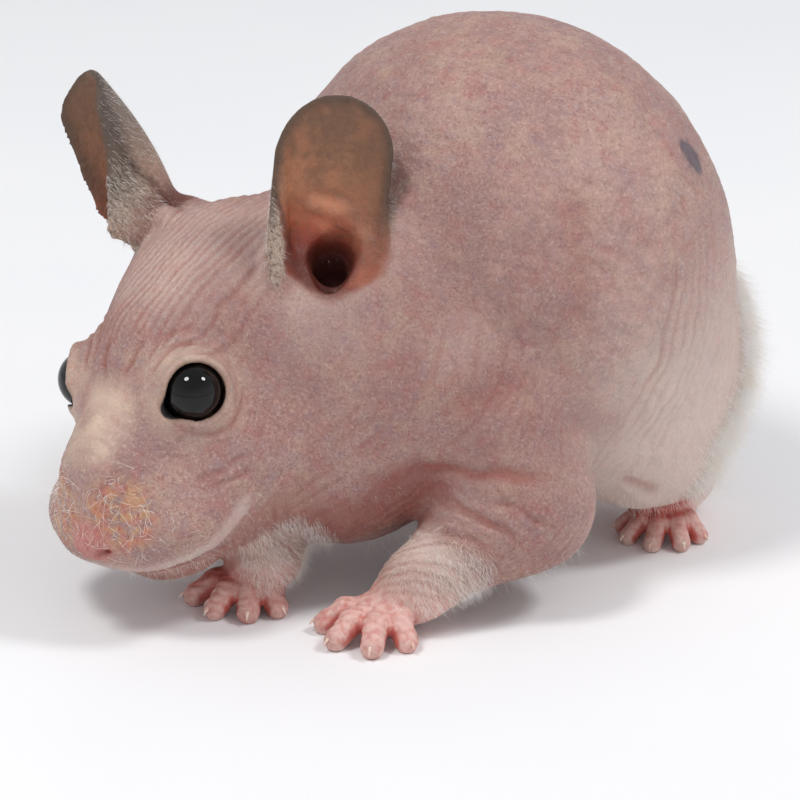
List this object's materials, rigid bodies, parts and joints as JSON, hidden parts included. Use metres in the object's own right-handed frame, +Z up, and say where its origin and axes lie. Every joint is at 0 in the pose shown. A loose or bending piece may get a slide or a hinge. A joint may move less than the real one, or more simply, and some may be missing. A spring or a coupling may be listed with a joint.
{
  "type": "hairless hamster",
  "caption": "A hairless hamster, life size: pink wrinkled skin, upright dark ears, black eyes, hunched on its feet with its head low.",
  "frame": {"origin": "on the floor, under the middle of the animal's bounding box", "axes": "+Z up, the animal faces -Y, its left side is at +X"},
  "size_m": [0.072, 0.0944, 0.0657],
  "materials": {
    "skin": "bare pink skin, matt with a faint moist sheen, finely wrinkled",
    "ear_skin": "thin dark brown-grey ear skin, redder in the cup",
    "foot_skin": "bare pink-red paws",
    "eye": "wet glossy black"
  },
  "bodies": {
    "root": {"ear_left": "ear_skin", "ear_right": "ear_skin", "forefoot_left": "foot_skin", "forefoot_right": "foot_skin", "hind_foot_left": "foot_skin", "hind_foot_right": "foot_skin", "foreleg_left": "skin", "foreleg_right": "skin", "hind_leg_left": "skin", "hind_leg_right": "skin", "tail": "skin", "head": "skin", "neck": "skin", "torso": "skin", "eye_left": "eye", "eye_right": "eye"}
  },
  "joints": []
}
